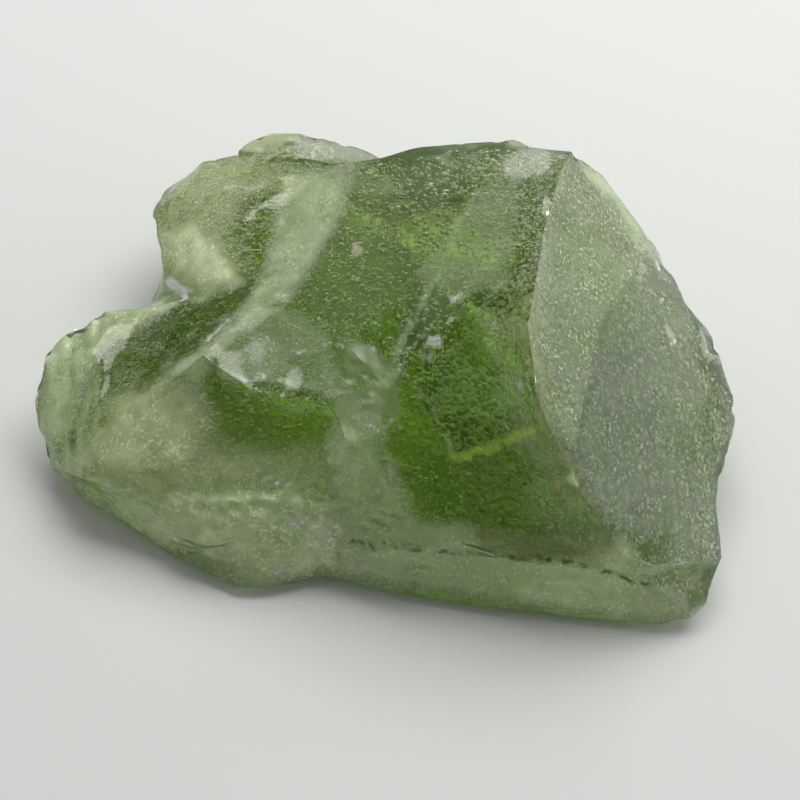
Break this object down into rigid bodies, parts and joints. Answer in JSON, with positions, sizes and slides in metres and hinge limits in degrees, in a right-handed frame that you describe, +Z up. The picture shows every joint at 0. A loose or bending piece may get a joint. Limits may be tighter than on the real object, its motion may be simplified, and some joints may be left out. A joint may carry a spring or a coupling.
{
  "type": "rough piece of obsidian",
  "caption": "Rough lump of clear green volcanic glass, broken on every side into dished, shell-like faces with sharp ridges, lying on its underside.",
  "frame": {"origin": "middle of the stone's bounding box, on the surface it rests on", "axes": "+X along the stone's length, from the thin left lobe towards the tall right end; +Z up; -Y towards the side with the large front break"},
  "size_m": [0.06, 0.0476, 0.0227],
  "materials": {
    "green_glass": "clear olive green natural glass, glossy on its breaks, with many fine bubbles inside"
  },
  "bodies": {
    "root": {"obsidian": "green_glass"}
  },
  "joints": []
}
